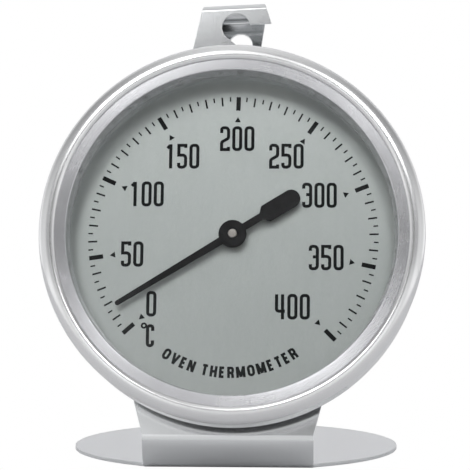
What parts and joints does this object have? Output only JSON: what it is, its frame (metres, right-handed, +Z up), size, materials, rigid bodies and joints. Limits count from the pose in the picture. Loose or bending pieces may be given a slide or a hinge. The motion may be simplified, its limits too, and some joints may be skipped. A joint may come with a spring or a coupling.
{
  "type": "oven thermometer",
  "caption": "Round dial thermometer in a leaning steel case, on a bent sheet stand with a round foot and a folded hook, with a bimetal coil that turns the pointer.",
  "frame": {"origin": "centre of the round foot, on the surface it stands on", "axes": "+Z up, -Y to the front, where the dial faces; +X to the right of the dial"},
  "size_m": [0.062, 0.069, 0.077],
  "materials": {
    "stand_steel": "satin",
    "rivet_steel": "satin",
    "case_steel": "satin",
    "bezel_steel": "turned satin",
    "trim_steel": "satin",
    "window_glass": "clear",
    "gasket_fibre": "matte",
    "spacer_aluminium": "matte",
    "dial_aluminium": "brushed upright",
    "bush_brass": "turned",
    "bimetal": "rolled strip",
    "arbor_steel": "turned",
    "pointer_black": "black enamel"
  },
  "bodies": {
    "housing": {"stand_plate": "stand_steel", "stand_rivets": "rivet_steel", "case_cup": "case_steel", "bezel_ring": "bezel_steel", "trim_ring": "trim_steel", "glass_lens": "window_glass", "glass_gasket": "gasket_fibre", "spacer_ring": "spacer_aluminium", "dial_plate": "dial_aluminium", "rear_bush": "bush_brass", "front_bush": "bush_brass", "movement_bridge": "case_steel", "bridge_rivets": "rivet_steel", "bimetal_coil": "bimetal", "coil_anchor_post": "bush_brass", "coil_end_pin": "rivet_steel"},
    "pointer_spindle": {"arbor": "arbor_steel", "coil_collet": "bush_brass", "pointer_boss": "bush_brass", "pointer": "pointer_black"}
  },
  "joints": [
    {"name": "pointer_turn", "type": "hinge", "parent": "housing", "child": "pointer_spindle", "pos_m": [0.0008, -0.02168, 0.03679], "axis": [0, 0.9713, -0.2377], "range_deg": [-10.7, 257.5], "stiffness_Nm_per_rad": 0.0033, "deforming": ["bimetal_coil"]}
  ]
}
